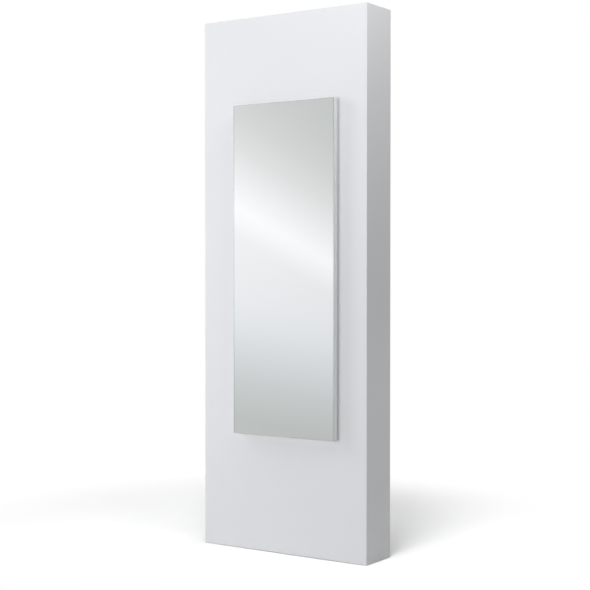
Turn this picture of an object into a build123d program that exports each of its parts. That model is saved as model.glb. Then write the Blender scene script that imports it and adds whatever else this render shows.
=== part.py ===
"""Free-standing mirror: a tall white box stand on levelling feet, with a framed mirror hung on its front.

Millimetres. +X is to the right of a person facing the mirror, -Y is the front and +Z is up.
The origin is on the floor, under the centre of the whole object's box.
"""

import os
from math import sqrt

from build123d import *

os.makedirs("parts", exist_ok=True)

# Stand
STAND_W = 810.0
STAND_D = 190.0
STAND_H = 2240.0  # floor to the top of the stand
WALL = 18.0  # every board of the stand
EASE = 1.5  # rounding of the lacquered upright edges
TOP_EASE = 1.48  # rounding of the top panel's upper edge
FLOOR_GAP = 2.0  # the walls end this far above the floor, and the feet carry the stand
BACK_GAP = 0.5  # joint around the back panel
BASE_Z = 12.0  # underside of the base panel, raised to hide the feet
STILE_W, STILE_D = 40.0, 30.0
RIB_HEIGHTS = {"lower_rib": 600.0, "middle_rib": 1180.0, "upper_rib": 1960.0}

# Mirror
MIRROR_W = 500.0
MIRROR_H = 1380.0
MIRROR_X = 22.0  # the mirror hangs this far right of the stand's centre
MIRROR_BOTTOM = 492.0
PROUD = 33.0  # from the stand's face to the front of the glass
GLASS = 4.0
ARRIS, EDGE_GRIND = 1.0, 0.9  # the glass's rounded corners, and the bevel ground around its front
FILM = 0.5
TAPE = 1.5
TAPE_W, TAPE_MARGIN = 14.0, 2.0
BEAD_L, BEAD_W, BEAD_SPACING, BEADS = 1150.0, 12.0, 100.0, 4
BOARD = 6.0  # backing board
BOARD_PLAY = 0.5
FRAME_INSET = 2.0  # the frame stands back from the edge of the glass
FRAME_D = 25.0
FRAME_METAL = 2.0
FRAME_FLANGE = 20.0
FRAME_LIP = 8.0
MITRE_PAST = 6.0  # how far the mitre cuts reach past the frame's flange
KEY_ARM, KEY_W = 40.0, 5.8
KEY_PLAY = 0.1
KEY_SCREW_ALONG = 36.0  # from the corner of the glass
BUMPER_R, BUMPER_STEM_R, BUMPER_CLEARANCE = 11.0, 4.0, 0.1
BUMPER_X, BUMPER_RISE = 180.0, 60.0  # from the mirror's centre line and from its bottom edge

# Hanging rails: two equal bevelled rails, one turned upside down and hooked behind the other
RAIL_LENGTH = 400.0
RAIL_FLANGE_H = 40.0
RAIL_METAL = 3.0
RAIL_REACH = 12.7
RAIL_BELOW_TOP = 160.0
RAIL_PLAY = 0.2  # between the two bevels
RAIL_SCREW_DROP = 22.0
RAIL_SCREW_OFFSETS = (-165.0, -55.0, 55.0, 165.0)
BATTEN_H = 90.0

# Levelling feet, M10
FOOT_X, FOOT_Y = 333.0, 49.0  # from the centre of the stand
FOOT_R, FOOT_PAD = 20.0, 8.0
PAD_BEVEL, PAD_ARRIS = 3.0, 0.6
STUD_R, STUD_TOP, STUD_BEVEL = 5.0, 40.0, 1.0
COLLAR_R, COLLAR = 9.0, 2.3
KEY_SOCKET_R, KEY_SOCKET_DEPTH = 2.5, 5.0
THREAD_PLAY = 0.05
INSERT_R, INSERT_FLANGE_R, INSERT_FLANGE, INSERT_L = 7.0, 12.0, 1.5, 15.0

# Ballast
BALLAST_W, BALLAST_D, BALLAST_T = 300.0, 110.0, 30.0
BALLAST_X, BALLAST_BOLT_X = 160.0, 110.0
BALLAST_CORNER = 6.0

# Dowels and screws: shank radius, head radius and length
DOWEL_R, DOWEL_IN_FACE = 4.0, 10.0
DOWEL_L = 30.0
TOP_DOWEL_X, TOP_DOWEL_Y = (-300.0, -100.0, 100.0, 300.0), (-35.0, 35.0)
BASE_DOWEL_X, BASE_DOWEL_Y = (-270.0, -90.0, 90.0, 270.0), (-20.0, 20.0)
SCREW_START, SCREW_PITCH, SCREW_ROWS = 120.0, 325.0, 7  # up the back panel's sides
BACK_SCREW_X = (-220.0, 0.0, 220.0)  # into the base and the ribs
SOCKET_SHARE = 0.8  # a screw's hexagon socket against its shank
PANEL_SCREW = (2.2, 4.4, 40.0)
RAIL_SCREW = (2.5, 4.5, 38.0)
SHORT_SCREW = (2.0, 3.6, 8.0)
KEY_SCREW = (1.5, 2.8, 6.5)
BALLAST_BOLT = (4.0, 7.5, 45.0)

SIDES = (-1, 1)  # left and right
HEXAGON = 6  # sides

# Worked out from the above
FRONT = (PROUD - STAND_D) / 2
BACK = FRONT + STAND_D
MID = (FRONT + BACK) / 2
INNER_W = STAND_W - 2 * WALL
INNER_FRONT, INNER_BACK = FRONT + WALL, BACK - WALL
TOP_Z = STAND_H - WALL
BASE_TOP = BASE_Z + WALL
BASE_MID = BASE_Z + WALL / 2
MIRROR_TOP = MIRROR_BOTTOM + MIRROR_H
MIRROR_Z = MIRROR_BOTTOM + MIRROR_H / 2
FLANGE_FRONT = PROUD - GLASS - FILM - TAPE  # front of the frame, out from the stand's face
FRAME_BACK = FLANGE_FRONT - FRAME_D
BOARD_FRONT = FLANGE_FRONT - FRAME_METAL
BOARD_BACK = BOARD_FRONT - BOARD
KEY_BACK = FRAME_BACK + FRAME_METAL + KEY_PLAY  # the corner keys fill the channel behind the board
KEY_T = BOARD_BACK - KEY_PLAY - KEY_BACK
RAIL_Z = MIRROR_TOP - RAIL_BELOW_TOP


def save(piece, name):
    """Labels a finished piece and writes it."""
    piece.part.label = name
    export_step(piece.part, f"parts/{name}.step")


def out(distance):
    """A plane parallel to the stand's face, that far in front of it, centred on the mirror."""
    return Plane(origin=(MIRROR_X, FRONT - distance, MIRROR_Z), x_dir=(1, 0, 0), z_dir=(0, -1, 0))


def slab(x_range, y_range, z_range, mode=Mode.ADD):
    """A rectangular block between the given limits."""
    lows, highs = zip(x_range, y_range, z_range)
    centre = tuple((low + high) / 2 for low, high in zip(lows, highs))
    size = [high - low for low, high in zip(lows, highs)]
    with Locations(centre):
        Box(*size, mode=mode)


def drill(planes, screw):
    """Countersunk holes for screws whose heads lie flush in the given planes."""
    shank_r, head_r, length = screw
    with Locations(*planes):
        CounterSinkHole(shank_r, head_r, depth=length, counter_sink_angle=90)


def screw_group(name, planes, screw):
    """Equal countersunk screws with hexagon sockets, one in each plane, pointing against its normal."""
    shank_r, head_r, length = screw
    with BuildPart() as group:
        with Locations(*planes):
            Cylinder(shank_r, length, align=(Align.CENTER, Align.CENTER, Align.MAX))
            Cone(shank_r, head_r, head_r - shank_r, align=(Align.CENTER, Align.CENTER, Align.MAX))
        with BuildSketch(*planes):
            RegularPolygon(shank_r * SOCKET_SHARE, HEXAGON)
        extrude(amount=-(head_r - shank_r), mode=Mode.SUBTRACT)
    save(group, name)


def facing(x, y, z, normal):
    """A plane at a point, with the given normal."""
    return Plane(origin=(x, y, z), z_dir=normal)


# --- Joints between the boards --------------------------------------------------------------------

TOP_DOWELS = [facing(x, FRONT + WALL / 2, TOP_Z, (0, 0, 1)) for x in TOP_DOWEL_X]
for side in SIDES:
    for y in TOP_DOWEL_Y:
        TOP_DOWELS.append(facing(side * (STAND_W - WALL) / 2, MID + y, TOP_Z, (0, 0, 1)))
BASE_DOWELS = [facing(x, INNER_FRONT, BASE_MID, (0, -1, 0)) for x in BASE_DOWEL_X]
for side in SIDES:
    for y in BASE_DOWEL_Y:
        BASE_DOWELS.append(facing(side * INNER_W / 2, MID + y, BASE_MID, (side, 0, 0)))


def dowels(planes, mode):
    """Dowels through the joint planes: a short end in the face behind the normal, the rest in the edge."""
    with Locations(*[Plane(p.origin + p.z_dir * DOWEL_IN_FACE, z_dir=p.z_dir) for p in planes]):
        Cylinder(DOWEL_R, DOWEL_L, align=(Align.CENTER, Align.CENTER, Align.MAX), mode=mode)


STILE_X = (INNER_W - STILE_W) / 2
BACK_SCREWS = [
    facing(side * STILE_X, BACK, SCREW_START + SCREW_PITCH * row, (0, 1, 0))
    for side in SIDES
    for row in range(SCREW_ROWS)
]
for x in BACK_SCREW_X:
    for z in (BASE_MID, *RIB_HEIGHTS.values()):
        BACK_SCREWS.append(facing(x, BACK, z, (0, 1, 0)))

RAIL_SCREW_X = [MIRROR_X + offset for offset in RAIL_SCREW_OFFSETS]
STAND_RAIL_SCREWS = [
    facing(x, FRONT - RAIL_METAL, RAIL_Z - RAIL_SCREW_DROP, (0, -1, 0)) for x in RAIL_SCREW_X
]
BALLAST_BOLTS = [
    facing(side * BALLAST_X + end * BALLAST_BOLT_X, MID, BASE_TOP + BALLAST_T, (0, 0, 1))
    for side in SIDES
    for end in SIDES
]
FEET = {
    f"{depth}_{side}": (x, MID + y)
    for depth, y in (("front", -FOOT_Y), ("back", FOOT_Y))
    for side, x in (("left", -FOOT_X), ("right", FOOT_X))
}

# --- Walls: the front and sides meet in mitres, so that no joint shows on the faces ---------------


def wall(name, corners):
    """The part of the folded front and sides that lies inside the given outline, seen from above."""
    with BuildPart() as panel:
        with BuildSketch(Plane(origin=(0, MID, FLOOR_GAP))):
            RectangleRounded(STAND_W, STAND_D, EASE)
            with Locations((0, WALL)):
                Rectangle(INNER_W, STAND_D, mode=Mode.SUBTRACT)
            Polygon(*corners, align=None, mode=Mode.INTERSECT)
        extrude(amount=TOP_Z - FLOOR_GAP)
        dowels(TOP_DOWELS, Mode.SUBTRACT)
        dowels(BASE_DOWELS, Mode.SUBTRACT)
        if name == "front_panel":
            drill(STAND_RAIL_SCREWS, RAIL_SCREW)
    save(panel, name)


half_w, half_d = STAND_W / 2, STAND_D / 2
wall("front_panel", [(-half_w, -half_d), (half_w, -half_d), (half_w - half_d, 0), (half_d - half_w, 0)])
for side_name, side in (("left_side_panel", -1), ("right_side_panel", 1)):
    wall(
        side_name,
        [
            (side * half_w, -half_d),
            (side * half_w, half_d),
            (side * (half_w - half_d), half_d),
            (side * (half_w - half_d), 0),
        ],
    )

with BuildPart() as back_panel:
    edge = INNER_W / 2 - BACK_GAP
    slab((-edge, edge), (INNER_BACK, BACK), (FLOOR_GAP, TOP_Z - BACK_GAP))
    chamfer(back_panel.faces().sort_by(Axis.Y)[-1].edges(), BACK_GAP)
    drill(BACK_SCREWS, PANEL_SCREW)
save(back_panel, "back_panel")

with BuildPart() as top_panel:
    with BuildSketch(Plane(origin=(0, MID, TOP_Z))):
        RectangleRounded(STAND_W, STAND_D, EASE)
    extrude(amount=WALL)
    fillet(top_panel.faces().sort_by(Axis.Z)[-1].edges(), TOP_EASE)
    dowels(TOP_DOWELS, Mode.SUBTRACT)
save(top_panel, "top_panel")

# --- Inside the stand -----------------------------------------------------------------------------

with BuildPart() as base_panel:
    slab((-INNER_W / 2, INNER_W / 2), (INNER_FRONT, INNER_BACK), (BASE_Z, BASE_TOP))
    with Locations(*[(x, y, BASE_TOP) for x, y in FEET.values()]):
        Hole(INSERT_R)
    dowels(BASE_DOWELS, Mode.SUBTRACT)
    drill(BACK_SCREWS, PANEL_SCREW)
    drill(BALLAST_BOLTS, BALLAST_BOLT)
save(base_panel, "base_panel")

for side_name, side in (("left_stile", -1), ("right_stile", 1)):
    with BuildPart() as stile:
        across = sorted((side * (INNER_W / 2 - STILE_W), side * INNER_W / 2))
        slab(across, (INNER_BACK - STILE_D, INNER_BACK), (BASE_TOP, TOP_Z))
        drill(BACK_SCREWS, PANEL_SCREW)
    save(stile, side_name)

for rib_name, height in RIB_HEIGHTS.items():
    with BuildPart() as rib:
        slab((-INNER_W / 2, INNER_W / 2), (INNER_FRONT, INNER_BACK), (height - WALL / 2, height + WALL / 2))
        for side in SIDES:
            across = sorted((side * (INNER_W / 2 - STILE_W), side * INNER_W / 2))
            slab(across, (INNER_BACK - STILE_D, INNER_BACK), (height - WALL, height + WALL), Mode.SUBTRACT)
        drill(BACK_SCREWS, PANEL_SCREW)
    save(rib, rib_name)

with BuildPart() as rail_backing_batten:
    slab(
        (MIRROR_X - RAIL_LENGTH / 2, MIRROR_X + RAIL_LENGTH / 2),
        (INNER_FRONT, INNER_FRONT + WALL),
        (RAIL_Z - RAIL_SCREW_DROP - BATTEN_H / 2, RAIL_Z - RAIL_SCREW_DROP + BATTEN_H / 2),
    )
    drill(STAND_RAIL_SCREWS, RAIL_SCREW)
save(rail_backing_batten, "rail_backing_batten")

for plate_name, side in (("left_ballast_plate", -1), ("right_ballast_plate", 1)):
    with BuildPart() as plate:
        with BuildSketch(Plane(origin=(side * BALLAST_X, MID, BASE_TOP))):
            RectangleRounded(BALLAST_W, BALLAST_D, BALLAST_CORNER)
        extrude(amount=BALLAST_T)
        drill(BALLAST_BOLTS, BALLAST_BOLT)
    save(plate, plate_name)

for group_name, joints in (("top_panel_dowels", TOP_DOWELS), ("base_panel_dowels", BASE_DOWELS)):
    with BuildPart() as dowel_group:
        dowels(joints, Mode.ADD)
    save(dowel_group, group_name)

screw_group("back_panel_screws", BACK_SCREWS, PANEL_SCREW)
screw_group("stand_rail_screws", STAND_RAIL_SCREWS, RAIL_SCREW)
screw_group("ballast_bolts", BALLAST_BOLTS, BALLAST_BOLT)

# --- Levelling feet: M10 studs that screw in and out of flanged inserts in the base ---------------

with BuildPart() as foot_inserts:
    with Locations(*[(x, y, BASE_Z) for x, y in FEET.values()]):
        Cylinder(INSERT_FLANGE_R, INSERT_FLANGE, align=(Align.CENTER, Align.CENTER, Align.MAX))
        Cylinder(INSERT_R, INSERT_L, align=(Align.CENTER, Align.CENTER, Align.MIN))
        Hole(STUD_R + THREAD_PLAY)
save(foot_inserts, "foot_inserts")

for corner, (x, y) in FEET.items():
    with BuildPart() as stud:
        with Locations((x, y, FLOOR_GAP)):
            Cylinder(STUD_R, STUD_TOP - FLOOR_GAP, align=(Align.CENTER, Align.CENTER, Align.MIN))
        chamfer(stud.edges().sort_by(Axis.Z)[-1], STUD_BEVEL)
        with BuildSketch(Plane(origin=(x, y, FOOT_PAD))):
            RegularPolygon(COLLAR_R, HEXAGON)
        extrude(amount=COLLAR)
        with BuildSketch(Plane(origin=(x, y, STUD_TOP))):
            RegularPolygon(KEY_SOCKET_R, HEXAGON)
        extrude(amount=-KEY_SOCKET_DEPTH, mode=Mode.SUBTRACT)
    save(stud, f"{corner}_foot_stud")

    with BuildPart() as pad:
        with Locations((x, y, 0)):
            Cylinder(FOOT_R, FOOT_PAD, align=(Align.CENTER, Align.CENTER, Align.MIN))
        chamfer(pad.edges().sort_by(Axis.Z)[-1], PAD_BEVEL)
        chamfer(pad.edges().sort_by(Axis.Z)[0], PAD_ARRIS)
        with Locations((x, y, FOOT_PAD)):
            Hole(STUD_R, depth=FOOT_PAD - FLOOR_GAP)
    save(pad, f"{corner}_foot_pad")

# --- Hanging rails --------------------------------------------------------------------------------

BEVEL_RISE = RAIL_METAL * sqrt(2) - RAIL_METAL
RAIL_SECTION = [
    (0, -RAIL_FLANGE_H),
    (RAIL_METAL, -RAIL_FLANGE_H),
    (RAIL_METAL, 0),
    (RAIL_REACH, RAIL_REACH - RAIL_METAL),
    (RAIL_REACH, RAIL_REACH + BEVEL_RISE),
    (0, BEVEL_RISE),
]
HOOKED_RISE = BOARD_BACK + 2 * BEVEL_RISE + RAIL_PLAY * sqrt(2)
HOOKED_SECTION = [(BOARD_BACK - reach, HOOKED_RISE - height) for reach, height in RAIL_SECTION]
MIRROR_RAIL_SCREWS = [
    facing(x, FRONT - BOARD_BACK + RAIL_METAL, RAIL_Z + HOOKED_RISE + RAIL_SCREW_DROP, (0, 1, 0))
    for x in RAIL_SCREW_X
]


def rail(name, section, screw_planes, screw):
    """An aluminium rail of the given section, drawn as (distance from the stand's face, height)."""
    with BuildPart() as bar:
        with BuildSketch(Plane(origin=(MIRROR_X, FRONT, RAIL_Z), x_dir=(0, -1, 0), z_dir=(-1, 0, 0))):
            Polygon(*section, align=None)
        extrude(amount=RAIL_LENGTH / 2, both=True)
        drill(screw_planes, screw)
    save(bar, name)


rail("stand_hanging_rail", RAIL_SECTION, STAND_RAIL_SCREWS, RAIL_SCREW)
rail("mirror_hanging_rail", HOOKED_SECTION, MIRROR_RAIL_SCREWS, SHORT_SCREW)
screw_group("mirror_rail_screws", MIRROR_RAIL_SCREWS, SHORT_SCREW)

# --- Mirror panel ---------------------------------------------------------------------------------

with BuildPart() as mirror_glass:
    with BuildSketch(out(PROUD - GLASS)):
        RectangleRounded(MIRROR_W, MIRROR_H, ARRIS)
    extrude(amount=GLASS)
    chamfer(mirror_glass.faces().sort_by(Axis.Y)[0].edges(), EDGE_GRIND)
save(mirror_glass, "mirror_glass")

with BuildPart() as safety_film:
    with BuildSketch(out(PROUD - GLASS - FILM)):
        Rectangle(MIRROR_W - 2 * ARRIS, MIRROR_H - 2 * ARRIS)
    extrude(amount=FILM)
save(safety_film, "safety_film")

TAPE_INSET = FRAME_INSET + TAPE_MARGIN
TAPE_X = MIRROR_W / 2 - TAPE_INSET - TAPE_W / 2
TAPE_Z = MIRROR_H / 2 - TAPE_INSET - TAPE_W / 2
with BuildPart() as bonding_tape:
    with BuildSketch(out(FLANGE_FRONT)):
        with Locations((-TAPE_X, 0), (TAPE_X, 0)):
            Rectangle(TAPE_W, MIRROR_H - 2 * TAPE_INSET)
        with Locations((0, -TAPE_Z), (0, TAPE_Z)):
            Rectangle(2 * TAPE_X - TAPE_W - TAPE_MARGIN, TAPE_W)
    extrude(amount=TAPE)
save(bonding_tape, "bonding_tape")

with BuildPart() as adhesive_beads:
    with BuildSketch(out(BOARD_FRONT)):
        with GridLocations(BEAD_SPACING, 0, BEADS, 1):
            SlotOverall(BEAD_L, BEAD_W, rotation=90)
    extrude(amount=PROUD - GLASS - FILM - BOARD_FRONT)
save(adhesive_beads, "adhesive_beads")

BUMPER_SPOTS = [(side * BUMPER_X, BUMPER_RISE - MIRROR_H / 2) for side in SIDES]
BOARD_INSET = FRAME_INSET + FRAME_METAL + BOARD_PLAY

with BuildPart() as backing_board:
    with BuildSketch(out(BOARD_BACK)):
        Rectangle(MIRROR_W - 2 * BOARD_INSET, MIRROR_H - 2 * BOARD_INSET)
        with Locations(*BUMPER_SPOTS):
            Circle(BUMPER_STEM_R, mode=Mode.SUBTRACT)
    extrude(amount=BOARD)
    drill(MIRROR_RAIL_SCREWS, SHORT_SCREW)
save(backing_board, "backing_board")

with BuildPart() as lower_bumpers:
    with BuildSketch(out(BUMPER_CLEARANCE)):
        with Locations(*BUMPER_SPOTS):
            Circle(BUMPER_R)
    extrude(amount=BOARD_BACK - BUMPER_CLEARANCE)
    with BuildSketch(out(BOARD_BACK)):
        with Locations(*BUMPER_SPOTS):
            Circle(BUMPER_STEM_R)
    extrude(amount=BOARD)
save(lower_bumpers, "lower_bumpers")

# --- Mirror frame: four mitred profiles joined by keys --------------------------------------------

# The section runs inwards from the edge of the glass and outwards from the stand's face.
FRAME_SECTION = [
    (FRAME_INSET, FRAME_BACK),
    (FRAME_INSET + FRAME_LIP, FRAME_BACK),
    (FRAME_INSET + FRAME_LIP, FRAME_BACK + FRAME_METAL),
    (FRAME_INSET + FRAME_METAL, FRAME_BACK + FRAME_METAL),
    (FRAME_INSET + FRAME_METAL, BOARD_FRONT),
    (FRAME_INSET + FRAME_FLANGE, BOARD_FRONT),
    (FRAME_INSET + FRAME_FLANGE, FLANGE_FRONT),
    (FRAME_INSET, FLANGE_FRONT),
]
CORNERS = [(sx, sz) for sx in SIDES for sz in SIDES]
KEY_NEAR = FRAME_INSET + FRAME_METAL + KEY_PLAY
KEY_SCREW_ACROSS = KEY_NEAR + KEY_W / 2


def from_corner(corner, along_x, along_z):
    """A point on the mirror, measured inwards from one of its corners, from the mirror's centre."""
    sx, sz = corner
    return (sx * (MIRROR_W / 2 - along_x), sz * (MIRROR_H / 2 - along_z))


KEY_SCREWS = []
for corner in CORNERS:
    for spot in ((KEY_SCREW_ACROSS, KEY_SCREW_ALONG), (KEY_SCREW_ALONG, KEY_SCREW_ACROSS)):
        dx, dz = from_corner(corner, *spot)
        KEY_SCREWS.append(facing(MIRROR_X + dx, FRONT - FRAME_BACK, MIRROR_Z + dz, (0, 1, 0)))

MITRE = FRAME_INSET + FRAME_FLANGE + MITRE_PAST
FRAME_SIDES = {
    "frame_left": (-1, 0),
    "frame_right": (1, 0),
    "frame_bottom": (0, -1),
    "frame_top": (0, 1),
}
for frame_name, (nx, nz) in FRAME_SIDES.items():
    reach, span = (MIRROR_W / 2, MIRROR_H / 2) if nx else (MIRROR_H / 2, MIRROR_W / 2)
    edge_middle = (MIRROR_X + nx * reach, FRONT, MIRROR_Z + nz * reach)
    inwards = Vector(-nx, 0, -nz)
    with BuildPart() as frame_bar:
        with BuildSketch(Plane(edge_middle, x_dir=inwards, z_dir=inwards.cross(Vector(0, -1, 0)))):
            Polygon(*FRAME_SECTION, align=None)
        extrude(amount=span, both=True)
        with BuildSketch(out(0)):
            outline = [
                (nx * (reach - cut) + nz * end * (span - cut), nz * (reach - cut) + nx * end * (span - cut))
                for cut, end in ((0, -1), (0, 1), (MITRE, 1), (MITRE, -1))
            ]  # a trapezium whose slanting ends are the mitres
            Polygon(*outline, align=None)
        extrude(amount=PROUD, both=True, mode=Mode.INTERSECT)
        drill(KEY_SCREWS, KEY_SCREW)
    save(frame_bar, frame_name)

with BuildPart() as frame_corner_keys:
    with BuildSketch(out(KEY_BACK)):
        for corner in CORNERS:
            far, near, inner = KEY_NEAR + KEY_ARM, KEY_NEAR, KEY_NEAR + KEY_W
            outline = ((near, near), (far, near), (far, inner), (inner, inner), (inner, far), (near, far))
            Polygon(*[from_corner(corner, *point) for point in outline], align=None)
    extrude(amount=KEY_T)
    drill(KEY_SCREWS, KEY_SCREW)
save(frame_corner_keys, "frame_corner_keys")

screw_group("corner_key_screws", KEY_SCREWS, KEY_SCREW)
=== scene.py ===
"""The free-standing mirror's looks: materials, light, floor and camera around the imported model."""

import math

import bpy
from mathutils import Matrix, Vector


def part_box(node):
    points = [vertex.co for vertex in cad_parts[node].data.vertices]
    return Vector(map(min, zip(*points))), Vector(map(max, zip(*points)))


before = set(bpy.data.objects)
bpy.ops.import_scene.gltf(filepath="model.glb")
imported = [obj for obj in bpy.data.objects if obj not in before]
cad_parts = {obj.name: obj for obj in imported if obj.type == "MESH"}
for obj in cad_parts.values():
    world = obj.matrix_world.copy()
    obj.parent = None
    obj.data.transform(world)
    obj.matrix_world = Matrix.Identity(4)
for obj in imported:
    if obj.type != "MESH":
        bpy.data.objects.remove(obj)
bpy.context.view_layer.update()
scene = bpy.context.scene

# Places, all from the frame
STAND_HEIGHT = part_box("top_panel")[1].z
GLASS_LOW, GLASS_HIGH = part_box("mirror_glass")
GLASS_CENTRE = (GLASS_LOW + GLASS_HIGH) / 2
GLASS_W, GLASS_H = GLASS_HIGH.x - GLASS_LOW.x, GLASS_HIGH.z - GLASS_LOW.z

# Camera: to the right of the mirror, turned left to the stand and tilted a little down
CAMERA_PLACE = Vector((3.0304, -4.5209, 1.1728))
CAMERA_HEADING = math.radians(33.75)
CAMERA_PITCH = math.radians(-1.022)
LENS, SENSOR = 79.166, 36.0


# --- Node helpers ---------------------------------------------------------------------------------


class Surface:
    """A new Principled material with helpers that add nodes to it."""

    def __init__(self, name, **values):
        self.material = bpy.data.materials.new(name)
        self.material.use_nodes = True
        self.tree = self.material.node_tree
        self.shader = self.tree.nodes["Principled BSDF"]
        self.coordinates = self.node("ShaderNodeTexCoord")
        self.place = self.coordinates.outputs["Object"]
        for socket, value in values.items():
            self.shader.inputs[socket.replace("_", " ")].default_value = value

    def node(self, kind, **values):
        """Adds a node. A socket's name sets or links that socket, and any other name sets a property.

        Properties come first, because they decide which of the sockets with one name is in use.
        """
        node = self.tree.nodes.new(kind)
        sockets = {socket.name.replace(" ", "_"): socket for socket in node.inputs}
        later = {}
        for key, value in values.items():
            if key in sockets:
                later[key] = value
            else:
                setattr(node, key, value)
        sockets = {socket.name.replace(" ", "_"): socket for socket in node.inputs if socket.enabled}
        for key, value in later.items():
            self.give(sockets[key], value)
        return node

    def give(self, socket, value):
        """Links an output to a socket, or sets the socket's value."""
        if isinstance(value, bpy.types.NodeSocket):
            self.tree.links.new(value, socket)
        else:
            socket.default_value = value

    def set(self, **values):
        """Links or sets inputs of the shader."""
        for name, value in values.items():
            self.give(self.shader.inputs[name.replace("_", " ")], value)

    def stretched(self, scale):
        """Object coordinates, scaled along each axis."""
        return self.node("ShaderNodeMapping", Vector=self.place, Scale=scale).outputs["Vector"]

    def noise(self, scale, detail=3.0, roughness=0.5, vector=None):
        node = self.node(
            "ShaderNodeTexNoise",
            Vector=vector or self.place,
            Scale=scale,
            Detail=detail,
            Roughness=roughness,
        )
        return node.outputs["Fac"]

    def cells(self, scale):
        return self.node("ShaderNodeTexVoronoi", Vector=self.place, Scale=scale).outputs["Distance"]

    def between(self, factor, low, high):
        """A number that goes from low to high with the factor."""
        return self.node("ShaderNodeMapRange", Value=factor, To_Min=low, To_Max=high).outputs["Result"]

    def ramp(self, factor, stops):
        """A colour ramp with (position, colour) stops."""
        node = self.node("ShaderNodeValToRGB", Fac=factor)
        elements = node.color_ramp.elements
        while len(elements) < len(stops):
            elements.new(0.5)
        for element, (position, colour) in zip(elements, stops):
            element.position = position
            element.color = (*colour, 1.0)
        return node.outputs["Color"]

    def math(self, operation, first, second=0.0):
        node = self.node("ShaderNodeMath", operation=operation)
        self.give(node.inputs[0], first)
        self.give(node.inputs[1], second)
        return node.outputs["Value"]

    def blend(self, factor, first, second):
        """A colour between two colours. The node's colour inputs are 6 and 7, and its colour output is 2."""
        node = self.node("ShaderNodeMix", data_type="RGBA")
        self.give(node.inputs["Factor"], factor)
        self.give(node.inputs[6], first)
        self.give(node.inputs[7], second)
        return node.outputs[2]

    def bump(self, height, distance, strength=1.0, normal=None):
        node = self.node("ShaderNodeBump", Height=height, Distance=distance, Strength=strength)
        if normal is not None:
            self.give(node.inputs["Normal"], normal)
        return node.outputs["Normal"]


def grey(value):
    return (value, value, value)


# --- Materials ------------------------------------------------------------------------------------


def lacquer():
    """Sprayed satin white lacquer: nearly even, with the faint ripple that a spray gun leaves."""
    s = Surface("white_lacquer", Coat_Weight=0.25, Coat_Roughness=0.18, Coat_IOR=1.45)
    drift = s.noise(1.6, 2.0)
    s.set(
        Base_Color=s.ramp(drift, [(0.3, (0.790, 0.797, 0.812)), (0.7, (0.815, 0.820, 0.832))]),
        Roughness=s.between(s.noise(7.0, 4.0), 0.34, 0.44),
        Normal=s.bump(s.noise(420.0, 1.0), 0.00004, 0.5, s.bump(s.noise(55.0, 2.0), 0.0002, 0.25)),
    )
    return s.material


SIDE_PAINTED_REFLECTION, END_PAINTED_REFLECTION = 0.0046, 0.0022  # widths of the painted darker reflection along the mirror face's edge, at the sides and the ends, in metres
PAINTED_BAND_ENDS, SILVER_STARTS = 0.7, 1.3  # where it goes over into the silver, as parts of its width


def mirror():
    """Silvered float glass: the faces reflect, with a painted darker reflection in a band along their edge,
    and the ground and polished edges are green glass.
    """
    s = Surface("mirror_glass", Specular_IOR_Level=0.5)
    normal = s.node("ShaderNodeSeparateXYZ", Vector=s.coordinates.outputs["Normal"])
    face = s.math("GREATER_THAN", s.math("ABSOLUTE", normal.outputs["Y"]), 0.9)
    place = s.node("ShaderNodeSeparateXYZ", Vector=s.place)
    to_side = s.math("ABSOLUTE", s.math("SUBTRACT", place.outputs["X"], GLASS_CENTRE.x))
    to_end = s.math("ABSOLUTE", s.math("SUBTRACT", place.outputs["Z"], GLASS_CENTRE.z))
    from_side = s.math("SUBTRACT", GLASS_W / 2, to_side)
    from_end = s.math("SUBTRACT", GLASS_H / 2, to_end)
    # Painted darker reflection: a band along the face's edge gets darker silver, wider at the sides than at
    # the ends
    in_side = s.math("DIVIDE", from_side, SIDE_PAINTED_REFLECTION)
    in_end = s.math("DIVIDE", from_end, END_PAINTED_REFLECTION)
    inset = s.math("MINIMUM", in_side, in_end)
    painted_reflection_band = s.node("ShaderNodeMapRange", Value=inset, From_Min=PAINTED_BAND_ENDS, From_Max=SILVER_STARTS)
    silver = s.blend(painted_reflection_band.outputs["Result"], (0.62, 0.67, 0.65, 1.0), (0.865, 0.890, 0.880, 1.0))
    depth = s.node(
        "ShaderNodeMapRange",
        Value=place.outputs["Y"],
        From_Min=GLASS_LOW.y,
        From_Max=GLASS_HIGH.y,
    )
    edge = s.ramp(
        depth.outputs["Result"],
        [
            (0.0, (0.76, 0.81, 0.78)),
            (0.35, (0.72, 0.78, 0.75)),
            (1.0, (0.66, 0.73, 0.70)),
        ],
    )
    streaks = s.between(s.noise(30.0, vector=s.stretched((1, 0, 1))), 0.0, 0.25)
    edge = s.blend(streaks, edge, (0.80, 0.84, 0.82, 1.0))
    s.set(
        Base_Color=s.blend(face, edge, silver),
        Metallic=face,
        Roughness=s.between(face, 0.12, 0.0),
    )
    return s.material


LINES_ACROSS, LINES_ALONG = 900.0, 6.0  # how fine the drawn lines are across, and along
LINE_DEPTH = 0.00003


def brushed(name, colour, roughness, along, metallic=1.0):
    """Drawn or brushed metal, with its fine lines along one axis."""
    s = Surface(name, Metallic=metallic)
    scale = [LINES_ACROSS, LINES_ACROSS, LINES_ACROSS]
    scale["XYZ".index(along)] = LINES_ALONG
    lines = s.noise(1.0, 4.0, 0.6, s.stretched(scale))
    patches = s.noise(5.0, 2.0)
    tone = s.math("ADD", s.math("MULTIPLY", lines, 0.7), s.math("MULTIPLY", patches, 0.3))
    darker = [channel * 0.93 for channel in colour]
    s.set(
        Base_Color=s.ramp(tone, [(0.3, darker), (0.7, colour)]),
        Roughness=s.between(lines, roughness - 0.06, roughness + 0.08),
        Normal=s.bump(lines, LINE_DEPTH, 0.35),
    )
    return s.material


def anodised(along):
    """The mirror frame's matt anodised aluminium, which is more pale than shiny."""
    return brushed(f"frame_aluminium_{along}", (0.90, 0.91, 0.90), 0.42, along, metallic=0.25)


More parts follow.
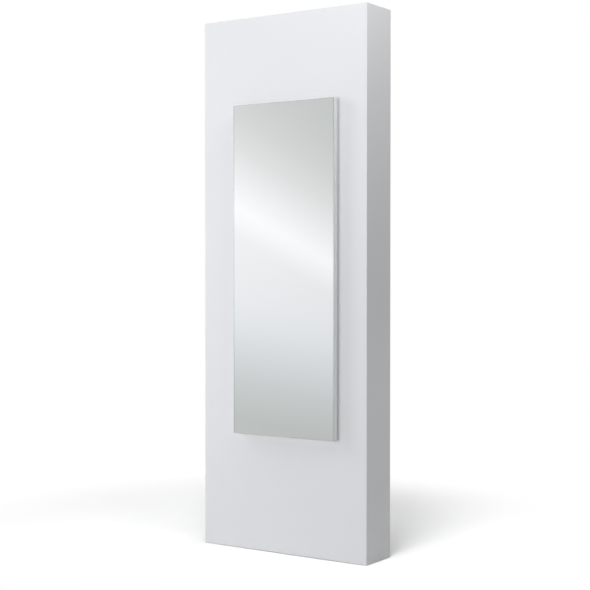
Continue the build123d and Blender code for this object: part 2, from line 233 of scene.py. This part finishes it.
def fibreboard():
    """Uncoated fibreboard: pressed brown fibres."""
    s = Surface("raw_board", Roughness=0.85)
    fibres = s.noise(700.0, 5.0, 0.7)
    flecks = s.cells(260.0)
    tone = s.math("ADD", s.math("MULTIPLY", fibres, 0.75), s.math("MULTIPLY", flecks, 0.25))
    s.set(
        Base_Color=s.ramp(
            tone,
            [
                (0.25, (0.27, 0.185, 0.11)),
                (0.55, (0.42, 0.31, 0.20)),
                (0.8, (0.52, 0.41, 0.28)),
            ],
        ),
        Normal=s.bump(fibres, 0.0002, 0.5),
    )
    return s.material


def timber(along):
    """Planed softwood with its grain along one axis."""
    s = Surface(f"timber_{along}", Roughness=0.6)
    scale = [1.0, 1.0, 1.0]
    scale["XYZ".index(along)] = 0.06
    warp = s.node("ShaderNodeTexNoise", Vector=s.stretched(scale), Scale=9.0, Detail=3.0, Distortion=1.2)
    rings = s.node("ShaderNodeTexWave", Vector=warp.outputs["Color"], Scale=9.0, Distortion=3.0, Detail=3.0)
    pores = s.noise(300.0, 2.0, 0.6, s.stretched([2.0 * value for value in scale]))
    grain = s.math("ADD", s.math("MULTIPLY", rings.outputs["Fac"], 0.6), s.math("MULTIPLY", pores, 0.4))
    s.set(
        Base_Color=s.ramp(
            grain,
            [
                (0.2, (0.72, 0.55, 0.34)),
                (0.6, (0.62, 0.44, 0.25)),
                (0.9, (0.42, 0.27, 0.14)),
            ],
        ),
        Normal=s.bump(grain, 0.0002, 0.4),
    )
    return s.material


def zinc():
    """Bright zinc plating, with its soft blue and yellow cast."""
    s = Surface("zinc_steel", Metallic=1.0)
    cast = s.noise(60.0, 2.0)
    s.set(
        Base_Color=s.ramp(cast, [(0.3, (0.60, 0.62, 0.66)), (0.7, (0.68, 0.67, 0.60))]),
        Roughness=s.between(s.noise(500.0, 3.0), 0.25, 0.42),
        Normal=s.bump(s.noise(900.0, 2.0), 0.00005, 0.4),
    )
    return s.material


def plate_steel():
    """Oiled hot-rolled plate: blue-grey mill scale with rusty freckles."""
    s = Surface("plate_steel", Metallic=0.85)
    scale = s.noise(18.0, 6.0, 0.65)
    s.set(
        Base_Color=s.ramp(
            scale,
            [
                (0.3, (0.05, 0.055, 0.065)),
                (0.6, (0.12, 0.12, 0.125)),
                (0.78, (0.20, 0.12, 0.07)),
            ],
        ),
        Roughness=s.between(s.noise(45.0, 4.0), 0.35, 0.6),
        Normal=s.bump(s.noise(240.0, 4.0), 0.0003, 0.4),
    )
    return s.material


def foam_tape():
    """Dark closed-cell foam tape."""
    s = Surface("bonding_tape", Roughness=0.9)
    pits = s.cells(1500.0)
    s.set(Base_Color=s.ramp(pits, [(0.0, grey(0.02)), (0.6, grey(0.06))]), Normal=s.bump(pits, 0.0002, 0.6))
    return s.material


def mastic():
    """Cured off-white mastic, a little uneven."""
    s = Surface("adhesive", Roughness=0.55)
    ripple = s.noise(40.0, 3.0)
    s.set(
        Base_Color=s.ramp(ripple, [(0.3, (0.66, 0.65, 0.60)), (0.7, (0.74, 0.73, 0.69))]),
        Normal=s.bump(ripple, 0.001, 0.5),
    )
    return s.material


def film():
    """The grey-green safety film on the back of the glass, with its woven threads."""
    s = Surface("safety_film", Roughness=0.45)
    upright = s.noise(1.0, 1.0, 0.5, s.stretched((900, 1, 90)))
    level = s.noise(1.0, 1.0, 0.5, s.stretched((90, 1, 900)))
    threads = s.math("MULTIPLY", upright, level)
    s.set(
        Base_Color=s.ramp(threads, [(0.1, (0.30, 0.35, 0.33)), (0.4, (0.40, 0.45, 0.43))]),
        Normal=s.bump(threads, 0.0001, 0.4),
    )
    return s.material


def moulded(name, colour, roughness, grain):
    """Moulded rubber or plastic with a fine spark-eroded grain."""
    s = Surface(name)
    skin = s.cells(grain)
    light = [channel * 1.5 for channel in colour]
    s.set(
        Base_Color=s.ramp(s.noise(25.0, 3.0), [(0.3, colour), (0.8, light)]),
        Roughness=s.between(s.noise(90.0, 3.0), roughness - 0.08, roughness + 0.08),
        Normal=s.bump(skin, 0.0001, 0.5),
    )
    return s.material


WHITE = lacquer()
BOARD = fibreboard()
ZINC = zinc()
PLATE = plate_steel()
RAIL = brushed("rail_aluminium", (0.74, 0.75, 0.76), 0.32, "X")
FOOT = moulded("foot_plastic", (0.030, 0.030, 0.032), 0.5, 1800.0)
UPRIGHT, LEVEL = anodised("Z"), anodised("X")
DRESSING = {
    "front_panel": WHITE,
    "left_side_panel": WHITE,
    "right_side_panel": WHITE,
    "back_panel": WHITE,
    "top_panel": WHITE,
    "base_panel": BOARD,
    "lower_rib": BOARD,
    "middle_rib": BOARD,
    "upper_rib": BOARD,
    "backing_board": BOARD,
    "left_stile": timber("Z"),
    "rail_backing_batten": timber("X"),
    "base_panel_dowels": timber("Y"),
    "back_panel_screws": ZINC,
    "stand_rail_screws": ZINC,
    "mirror_rail_screws": ZINC,
    "corner_key_screws": ZINC,
    "frame_corner_keys": ZINC,
    "ballast_bolts": ZINC,
    "foot_inserts": ZINC,
    "left_ballast_plate": PLATE,
    "right_ballast_plate": PLATE,
    "stand_hanging_rail": RAIL,
    "mirror_hanging_rail": RAIL,
    "mirror_glass": mirror(),
    "safety_film": film(),
    "bonding_tape": foam_tape(),
    "adhesive_beads": mastic(),
    "lower_bumpers": moulded("bumper_rubber", (0.020, 0.020, 0.020), 0.7, 900.0),
    "frame_left": UPRIGHT,
    "frame_right": UPRIGHT,
    "frame_top": LEVEL,
    "frame_bottom": LEVEL,
}
DRESSING["right_stile"] = DRESSING["top_panel_dowels"] = DRESSING["left_stile"]
for node_name, node_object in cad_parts.items():
    if node_name.endswith("_foot_pad"):
        DRESSING[node_name] = FOOT
    elif node_name.endswith("_foot_stud"):
        DRESSING[node_name] = ZINC
    for material_slot in node_object.material_slots:
        material_slot.material = DRESSING[node_name]


# --- Stage ----------------------------------------------------------------------------------------


def plane(name, width, height, matrix):
    mesh = bpy.data.meshes.new(name)
    corners = [(x * width / 2, y * height / 2, 0.0) for x, y in ((-1, -1), (1, -1), (1, 1), (-1, 1))]
    mesh.from_pydata(corners, [], [(0, 1, 2, 3)])
    piece = bpy.data.objects.new(name, mesh)
    piece.matrix_world = matrix
    scene.collection.objects.link(piece)
    return piece


FLOOR_SIZE = 40.0
FLOOR_CENTRE = Vector((-0.4, 0.4, 0.0))  # the middle of the patch that takes the shadows
FLOOR_NEAR, FLOOR_FAR = 0.7, 1.6  # the floor goes over into the white background between these distances
FLOOR_BOUNCE = 0.61  # how much light the floor throws back on the object
HORIZON = 0.62  # the mirror sees the far floor and the foot of the walls this bright


def floor_material():
    """A white studio floor that takes soft shadows near the object and has no end further out."""
    s = Surface("floor", Roughness=0.8, Specular_IOR_Level=0.1)
    rays = s.node("ShaderNodeLightPath")
    tone = s.ramp(s.noise(2.0, 3.0), [(0.3, grey(0.99)), (0.7, grey(1.0))])
    s.set(Base_Color=s.blend(rays.outputs["Is Diffuse Ray"], tone, (*grey(FLOOR_BOUNCE), 1.0)))
    distance = s.node("ShaderNodeVectorMath", operation="DISTANCE")
    s.give(distance.inputs[0], s.place)
    s.give(distance.inputs[1], FLOOR_CENTRE)
    far = s.node(
        "ShaderNodeMapRange",
        Value=distance.outputs["Value"],
        From_Min=FLOOR_NEAR,
        From_Max=FLOOR_FAR,
        interpolation_type="SMOOTHSTEP",
    )
    white = s.node("ShaderNodeEmission", Color=(1, 1, 1, 1))
    seen = s.between(rays.outputs["Is Diffuse Ray"], 1.0, FLOOR_BOUNCE)
    mirrored = s.between(rays.outputs["Is Singular Ray"], 1.0, HORIZON)
    s.give(white.inputs["Strength"], s.math("MULTIPLY", seen, mirrored))
    mix = s.node("ShaderNodeMixShader")
    s.give(mix.inputs[0], far.outputs["Result"])
    s.give(mix.inputs[1], s.shader.outputs["BSDF"])
    s.give(mix.inputs[2], white.outputs["Emission"])
    s.give(s.tree.nodes["Material Output"].inputs["Surface"], mix.outputs["Shader"])
    return s.material


floor = plane("floor", FLOOR_SIZE, FLOOR_SIZE, Matrix.Identity(4))
floor.data.materials.append(floor_material())

# The card that the mirror reflects in the camera's view: a pale studio wall with a slanting band of light
heading = Vector((-math.sin(CAMERA_HEADING), math.cos(CAMERA_HEADING), 0.0))
reflected = Vector((heading.x, -heading.y, 0.0))
across = Vector((math.cos(CAMERA_HEADING), -math.sin(CAMERA_HEADING), 0.0))
CARD_AWAY = 2.0
ghost = Vector((CAMERA_PLACE.x, 2 * GLASS_LOW.y - CAMERA_PLACE.y, CAMERA_PLACE.z))
to_glass = Vector((GLASS_CENTRE.x, GLASS_LOW.y, GLASS_CENTRE.z)) - ghost
depth_to_glass = to_glass.dot(reflected)
CARD_SCALE = (depth_to_glass + CARD_AWAY) / depth_to_glass  # the card's size against the glass
card_centre = ghost + to_glass * CARD_SCALE
card_turn = Matrix((across, Vector((0, 0, 1)), reflected)).transposed().to_4x4()
card_matrix = Matrix.Translation(card_centre) @ card_turn
BAND_HEIGHT, BAND_SLOPE = 0.207, 0.566  # the brightest line: height over the card's middle, and its slope
BAND_SOFT = 0.21  # how far below that line the band fades out
ABOVE_DEPTH = 0.82  # the fade above the band
BELOW_LOW, BELOW_HIGH, BELOW_SLOPE = -0.9, 0.05, 0.25  # the fade to the mirror's foot
SIDE_FADE = -0.12  # the left is a little lighter than the right
CARD_W, CARD_H = 2.0, 2.9
CARD_FADE = 0.45  # the card goes over into the studio within this distance of its edges


def card_material():
    """Light levels over the card, in its own plane: x to the right and y up, seen in the mirror."""
    s = Surface("card")
    split = s.node("ShaderNodeSeparateXYZ", Vector=s.place)
    x, y = split.outputs["X"], split.outputs["Y"]
    from_band = s.math("SUBTRACT", s.math("ADD", y, s.math("MULTIPLY", x, BAND_SLOPE)), BAND_HEIGHT)
    above_at = s.node("ShaderNodeMapRange", Value=from_band, From_Max=ABOVE_DEPTH)
    above = s.ramp(
        above_at.outputs["Result"],
        [
            (0.0, (1.085, 1.07, 1.10)),
            (0.20, (0.97, 0.955, 0.975)),
            (0.40, (0.845, 0.84, 0.85)),
            (0.60, (0.755, 0.755, 0.755)),
            (0.80, (0.70, 0.705, 0.70)),
            (1.0, (0.665, 0.675, 0.67)),
        ],
    )
    low = s.math("ADD", y, s.math("MULTIPLY", x, BELOW_SLOPE))
    below_at = s.node("ShaderNodeMapRange", Value=low, From_Min=BELOW_LOW, From_Max=BELOW_HIGH)
    below = s.ramp(
        below_at.outputs["Result"],
        [
            (0.0, (0.57, 0.58, 0.575)),
            (0.22, (0.66, 0.67, 0.68)),
            (0.35, (0.735, 0.745, 0.77)),
            (0.58, (0.87, 0.875, 0.91)),
            (0.70, (0.915, 0.91, 0.94)),
            (1.0, (0.965, 0.955, 0.98)),
        ],
    )
    over = s.node(
        "ShaderNodeMapRange",
        Value=from_band,
        From_Min=-BAND_SOFT,
        From_Max=0.0,
        interpolation_type="SMOOTHSTEP",
    )
    light = s.node("ShaderNodeEmission", Color=s.blend(over.outputs["Result"], below, above))
    s.give(light.inputs["Strength"], s.math("ADD", s.math("MULTIPLY", x, SIDE_FADE), 1.0))
    from_side = s.math("SUBTRACT", CARD_W / 2, s.math("ABSOLUTE", x))
    from_end = s.math("SUBTRACT", CARD_H / 2, s.math("ABSOLUTE", y))
    inset = s.math("MINIMUM", from_side, from_end)
    solid = s.node("ShaderNodeMapRange", Value=inset, From_Max=CARD_FADE, interpolation_type="SMOOTHSTEP")
    mix = s.node("ShaderNodeMixShader")
    s.give(mix.inputs[0], solid.outputs["Result"])
    s.give(mix.inputs[1], s.node("ShaderNodeBsdfTransparent").outputs["BSDF"])
    s.give(mix.inputs[2], light.outputs["Emission"])
    s.give(s.tree.nodes["Material Output"].inputs["Surface"], mix.outputs["Shader"])
    return s.material


card = plane("reflected_card", CARD_W, CARD_H, card_matrix)
card.data.materials.append(card_material())
card.visible_camera = card.visible_diffuse = card.visible_shadow = False


# --- Light ----------------------------------------------------------------------------------------


def linked(name, link_state):
    """A group that holds the floor: a lamp lights only it (INCLUDE), or everything but it (EXCLUDE)."""
    group = bpy.data.collections.new(name)
    group.objects.link(floor)
    group.collection_objects[0].light_linking.link_state = link_state
    return group


ONLY_FLOOR, NOT_FLOOR = linked("only_floor", "INCLUDE"), linked("not_floor", "EXCLUDE")
MIDDLE = Vector((0.0, 0.0, STAND_HEIGHT / 2))
NEUTRAL, COOL = (1.0, 1.0, 1.0), (0.97, 0.98, 1.0)


def softbox(name, place, size, power, receivers, colour=NEUTRAL):
    """A square lamp that is aimed at the middle of the stand, and that the mirror doesn't show."""
    light = bpy.data.lights.new(name, "AREA")
    light.shape = "SQUARE"
    light.size = size
    light.energy = power
    light.color = colour
    lamp = bpy.data.objects.new(name, light)
    lamp.location = place
    lamp.rotation_euler = (MIDDLE - Vector(place)).to_track_quat("-Z", "Y").to_euler()
    lamp.visible_glossy = False
    lamp.light_linking.receiver_collection = receivers
    scene.collection.objects.link(lamp)


# Lamps on the object: place and size in metres, and power in watts
softbox("overhead", (0.0, 0.0, 6.0), 3.5, 50.0, NOT_FLOOR, COOL)
softbox("left", (-3.4, -1.4, 2.9), 1.6, 69.0, NOT_FLOOR, COOL)
softbox("high_front", (0.8, -2.4, 5.0), 1.5, 12.5, NOT_FLOOR, COOL)
softbox("front", (-0.6, -4.4, 1.6), 1.6, 70.0, NOT_FLOOR, COOL)
softbox("near_top_right", (1.2, -0.5, 3.2), 0.8, 17.0, NOT_FLOOR)
softbox("low_left", (-1.5, -1.1, 0.45), 0.6, 2.2, NOT_FLOOR, COOL)
softbox("behind", (-1.6, 4.2, 2.6), 2.0, 60.0, NOT_FLOOR)
# Lamps on the floor, which make its soft shadows
softbox("floor_top", (0.3, -0.5, 5.0), 1.5, 115.0, ONLY_FLOOR)
softbox("floor_front", (0.8, -2.4, 5.0), 1.5, 159.0, ONLY_FLOOR)
softbox("floor_back", (0.6, 2.2, 4.2), 2.0, 58.0, ONLY_FLOOR)


AMBIENT = 0.08  # the faint even light from all around
WALLS_IN_MIRROR, WALLS_ELSEWHERE = 1.0, 0.3  # the mirror sees the walls fully lit, rougher surfaces less


def studio_world():
    """White behind the object, a faint even light on it, and pale grey walls in its reflections."""
    world = bpy.data.worlds.new("studio")
    scene.world = world
    world.use_nodes = True
    tree = world.node_tree
    nodes, links = tree.nodes, tree.links
    backdrop = nodes["Background"]
    backdrop.inputs["Color"].default_value = (1, 1, 1, 1)
    ambient = nodes.new("ShaderNodeBackground")
    ambient.inputs["Color"].default_value = (*COOL, 1)
    ambient.inputs["Strength"].default_value = AMBIENT
    walls = nodes.new("ShaderNodeBackground")
    upward = nodes.new("ShaderNodeSeparateXYZ")
    links.new(nodes.new("ShaderNodeTexCoord").outputs["Generated"], upward.inputs["Vector"])
    # From the horizon up: the darker foot of the walls, their bright part, and the darker ceiling
    shade = nodes.new("ShaderNodeValToRGB")
    shade.color_ramp.interpolation = "EASE"
    shade.color_ramp.elements[0].color = (*grey(HORIZON), 1.0)
    shade.color_ramp.elements[1].color = (*grey(0.6), 1.0)
    shade.color_ramp.elements.new(0.12).color = (*grey(1.0), 1.0)
    shade.color_ramp.elements.new(0.45).color = (*grey(0.72), 1.0)
    links.new(upward.outputs["Z"], shade.inputs["Fac"])
    links.new(shade.outputs["Color"], walls.inputs["Color"])
    path = nodes.new("ShaderNodeLightPath")
    strength = nodes.new("ShaderNodeMapRange")
    strength.inputs["To Min"].default_value = WALLS_ELSEWHERE
    strength.inputs["To Max"].default_value = WALLS_IN_MIRROR
    links.new(path.outputs["Is Singular Ray"], strength.inputs["Value"])
    links.new(strength.outputs["Result"], walls.inputs["Strength"])
    reflections = nodes.new("ShaderNodeMixShader")
    links.new(path.outputs["Is Glossy Ray"], reflections.inputs[0])
    links.new(ambient.outputs["Background"], reflections.inputs[1])
    links.new(walls.outputs["Background"], reflections.inputs[2])
    choose = nodes.new("ShaderNodeMixShader")
    links.new(path.outputs["Is Camera Ray"], choose.inputs[0])
    links.new(reflections.outputs["Shader"], choose.inputs[1])
    links.new(backdrop.outputs["Background"], choose.inputs[2])
    links.new(choose.outputs["Shader"], nodes["World Output"].inputs["Surface"])


studio_world()

# --- Camera ---------------------------------------------------------------------------------------

camera_data = bpy.data.cameras.new("camera")
camera_data.lens, camera_data.sensor_width = LENS, SENSOR
camera = bpy.data.objects.new("camera", camera_data)
camera.location = CAMERA_PLACE
camera.rotation_euler = (math.pi / 2 + CAMERA_PITCH, 0.0, CAMERA_HEADING)
scene.collection.objects.link(camera)
scene.camera = camera
scene.view_settings.view_transform = "Standard"
